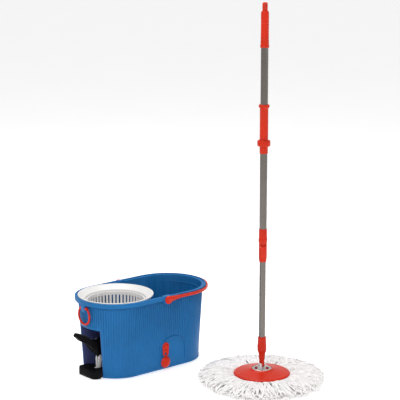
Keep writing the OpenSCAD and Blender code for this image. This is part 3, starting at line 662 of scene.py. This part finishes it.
def strand(rng, lock, layer):
    """One string of a lock, with its own length, waves and curled end."""
    thick = rng.uniform(0.0017, 0.0025)
    end_r = min(STRINGS_R + 0.004, STRINGS_R * layer["reach"] * lock["length"]
                * rng.uniform(0.95, 1.05))
    start = lock["heading"] + rng.gauss(0, 0.034)
    drift = rng.gauss(0, 0.05)
    phase = lock["wave"] + rng.gauss(0, 0.6)
    turns = rng.uniform(6, 11)
    lift = rng.uniform(-0.0022, 0.0022)
    hook = rng.choice((-1, 1)) * rng.uniform(0.02, 0.09)
    path, radii = [], []
    steps = 26
    for k in range(steps + 1):
        t = k / steps
        curl = max(0, (t - CURL_FROM) / (1 - CURL_FROM))
        r = STRING_START_R + (end_r - STRING_START_R) * (t - 0.05 * curl ** 2)
        swing = lock["sway"] * t * t + drift * t + hook * curl ** 1.5
        swing += 0.017 * math.sin(phase + turns * t) * min(1, 3 * t)
        a = start + swing
        z = along(layer["z"], t) + lift * min(1, 5 * t)
        z += 0.0017 * math.sin(phase * 2 + 1.4 * turns * t) * min(1, 4 * t)
        z = min(max(z, thick + 0.0003), STRINGS_HIGH.z - thick)
        path.append(Vector((MOP.x + r * math.cos(a), MOP.y + r * math.sin(a), z)))
        fluff = 1 + 0.2 * math.sin(k * 2.1 + phase * 5) * rng.uniform(0.3, 1)
        radii.append(thick * fluff * min(1, (1 - t) * 10 + 0.45))
    return tube_mesh(path, radii, 6)


def strands(rng):
    """Loose microfibre strings in locks, from the ring under the plate out over the floor."""
    parts = []
    for layer in LAYERS:
        for i in range(layer["locks"]):
            lock = {
                "heading": 2 * math.pi * (i + rng.uniform(-0.3, 0.3)) / layer["locks"],
                "sway": rng.uniform(-0.12, 0.12), "length": rng.uniform(0.94, 1.02),
                "wave": rng.uniform(0, 2 * math.pi),
            }
            parts += [strand(rng, lock, layer) for _ in range(layer["each"])]
    return join(parts)


strings = mesh_piece("string_locks", *strands(random.Random(7)), "mop_strings", "strings", 80)
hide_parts("mop_strings")

# ---- camera, from the framing of a product shot ----
AZIMUTH = math.radians(-40.3)
ELEVATION = math.radians(11.8)
DISTANCE, SIDE, RISE = 4.4595, 0.2622, 0.5287
LENS = 127.8
back = Vector((math.sin(AZIMUTH) * math.cos(ELEVATION),
               -math.cos(AZIMUTH) * math.cos(ELEVATION), math.sin(ELEVATION)))
right = Vector((math.cos(AZIMUTH), math.sin(AZIMUTH), 0))
up = back.cross(right)
cam_data = bpy.data.cameras.new("camera")
cam_data.lens = LENS
cam_data.clip_end = 50
cam = bpy.data.objects.new("camera", cam_data)
cam.matrix_world = Matrix.Translation(back * DISTANCE + right * SIDE + up * RISE) @ \
    Matrix((right, up, back)).transposed().to_4x4()
bpy.context.collection.objects.link(cam)
bpy.context.scene.camera = cam
bpy.context.scene.view_settings.view_transform = "Standard"


# ---- floor and light ----
def stage_floor():
    mesh = bpy.data.meshes.new("floor")
    size = 60
    mesh.from_pydata([(-size, -size, 0), (size, -size, 0), (size, size, 0), (-size, size, 0)],
                     [], [(0, 1, 2, 3)])
    floor = bpy.data.objects.new("floor", mesh)
    bpy.context.collection.objects.link(floor)
    m, tree, shader = material("pale_floor")
    tone = ramp(tree, noise(tree, place(tree), 3.0), [(0.3, 0.93), (0.7, 0.96)])
    tree.links.new(tone, shader.inputs["Base Color"])
    shader.inputs["Roughness"].default_value = 0.8
    shader.inputs["Emission Color"].default_value = (1, 1, 1, 1)
    shader.inputs["Emission Strength"].default_value = 0.4
    mesh.materials.append(m)


def area_light(name, at, target, size, power):
    data = bpy.data.lights.new(name, "AREA")
    data.shape = "DISK"
    data.size = size
    data.energy = power
    lamp = bpy.data.objects.new(name, data)
    lamp.location = at
    lamp.rotation_euler = (Vector(target) - Vector(at)).to_track_quat("-Z", "Y").to_euler()
    bpy.context.collection.objects.link(lamp)


stage_floor()
MIDDLE = (0.15, -0.2, 0.3)
area_light("key", (-2.6, -2.2, 2.8), MIDDLE, 1.8, 46)
area_light("fill", (2.4, -3.0, 1.6), MIDDLE, 2.4, 14)
area_light("top", (0.3, 0.4, 3.4), MIDDLE, 2.6, 78)


def studio():
    """White room with two darker flags at the sides, which give the steel its bands."""
    world = bpy.data.worlds.new("studio")
    world.use_nodes = True
    tree = world.node_tree
    tc = node(tree, "ShaderNodeTexCoord")
    across = node(tree, "ShaderNodeVectorMath", operation="DOT_PRODUCT")
    across.inputs[1].default_value = right
    tree.links.new(tc.outputs["Generated"], across.inputs[0])
    size = node(tree, "ShaderNodeMath", operation="ABSOLUTE")
    tree.links.new(across.outputs["Value"], size.inputs[0])
    tone = ramp(tree, size.outputs["Value"], [(0.0, 1.0), (0.5, 0.95), (0.72, 0.35), (0.88, 0.3),
                                              (0.97, 0.9)])
    tree.links.new(tone, tree.nodes["Background"].inputs["Color"])
    tree.nodes["Background"].inputs["Strength"].default_value = 0.66
    bpy.context.scene.world = world


studio()
